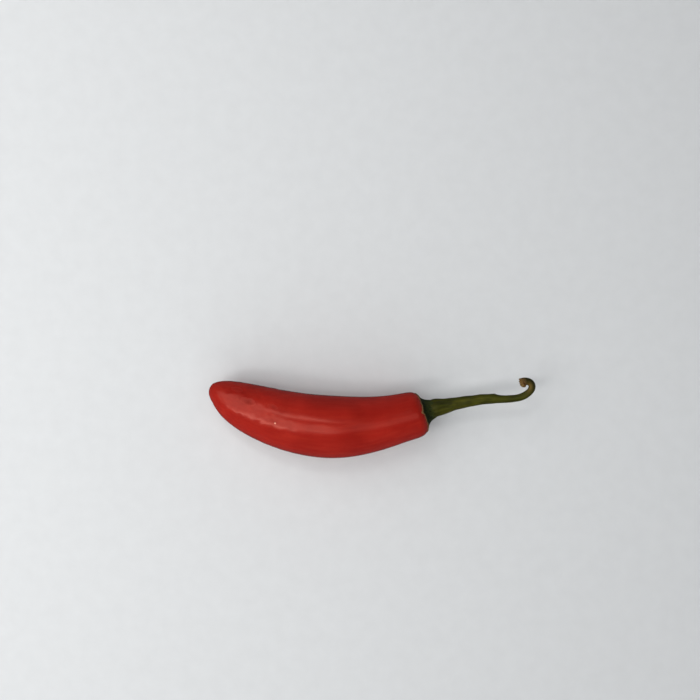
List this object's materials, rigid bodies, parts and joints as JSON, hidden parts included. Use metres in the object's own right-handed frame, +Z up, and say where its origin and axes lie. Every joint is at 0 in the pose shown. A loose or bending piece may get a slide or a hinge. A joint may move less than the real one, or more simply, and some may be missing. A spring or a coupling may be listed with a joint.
{
  "type": "fresh red chilli pepper",
  "caption": "Fresh red chilli pepper lying on its side: a gently bent tapering pod with a blunt tip, a flared green calyx and a slender stem that ends in a small hook.",
  "frame": {"origin": "centre of the bounding box in X and Y, at the height of the surface that the pod rests on", "axes": "+X from the pod's blunt tip towards the stem, +Z up, +Y towards the side that the hook turns to"},
  "size_m": [0.1294, 0.032, 0.0248],
  "materials": {
    "chilli_skin": "ripe red waxy skin, glossy, with soft highlights",
    "calyx_green": "dark green leathery calyx with a thin brown margin, low sheen",
    "stem_green": "olive green fibrous stem with fine lengthwise streaks, low sheen"
  },
  "bodies": {
    "root": {"pod": "chilli_skin", "calyx": "calyx_green", "stem": "stem_green"}
  },
  "joints": []
}
